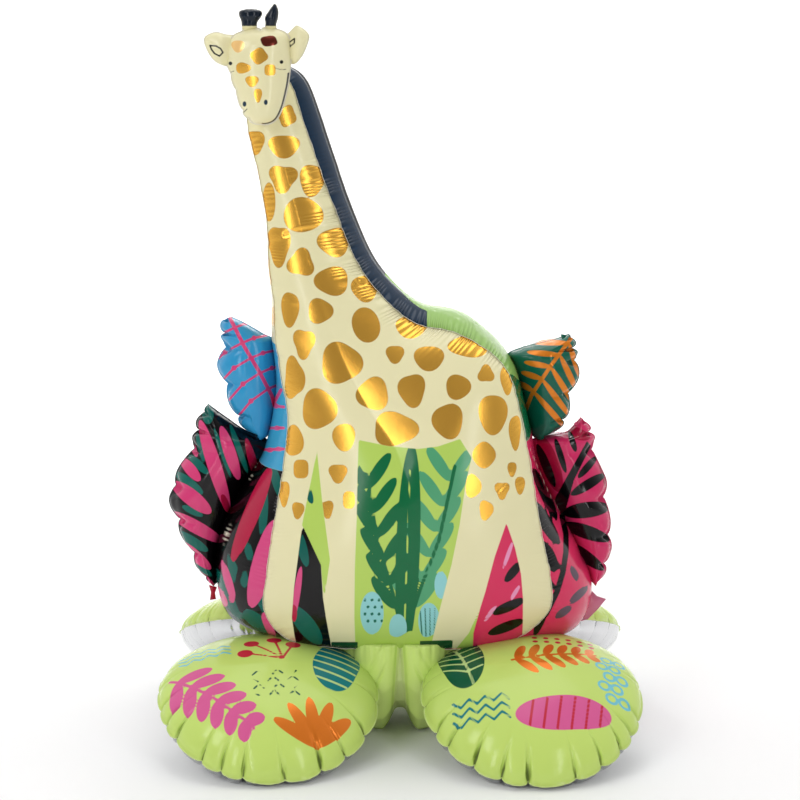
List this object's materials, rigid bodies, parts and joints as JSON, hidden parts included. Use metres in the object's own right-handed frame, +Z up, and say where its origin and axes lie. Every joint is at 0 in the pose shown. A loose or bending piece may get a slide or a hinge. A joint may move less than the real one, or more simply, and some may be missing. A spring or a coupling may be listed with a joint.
{
  "type": "standing giraffe foil balloon",
  "caption": "Standing giraffe foil balloon with a gusseted body and neck, a small head pillow, leaf pillows at the sides and a lobed base that stands on the floor.",
  "frame": {"origin": "on the floor under the middle of the base", "axes": "+Z up, the printed front faces -Y, and +X is to the right of someone who looks at the front"},
  "size_m": [0.934, 0.8244, 1.4247],
  "materials": {
    "giraffe_foil": "glossy printed foil film, cream with copper-gold spots",
    "blue_leaf_foil": "glossy printed foil film, blue with pink veins",
    "dark_leaf_foil": "glossy printed foil film, black with pink and teal blades",
    "green_leaf_foil": "glossy printed foil film, deep green with orange veins",
    "magenta_leaf_foil": "glossy printed foil film, magenta with black veins",
    "lime_foil": "glossy printed foil film, lime green above and bare silver below"
  },
  "bodies": {
    "root": {"giraffe_body": "giraffe_foil", "giraffe_head": "giraffe_foil", "leaf_upper_left": "blue_leaf_foil", "leaf_lower_left": "dark_leaf_foil", "leaf_upper_right": "green_leaf_foil", "leaf_lower_right": "magenta_leaf_foil", "lobe_front_left": "lime_foil", "lobe_front_right": "lime_foil", "lobe_back_left": "lime_foil", "lobe_back_right": "lime_foil", "base_web": "lime_foil"}
  },
  "joints": []
}
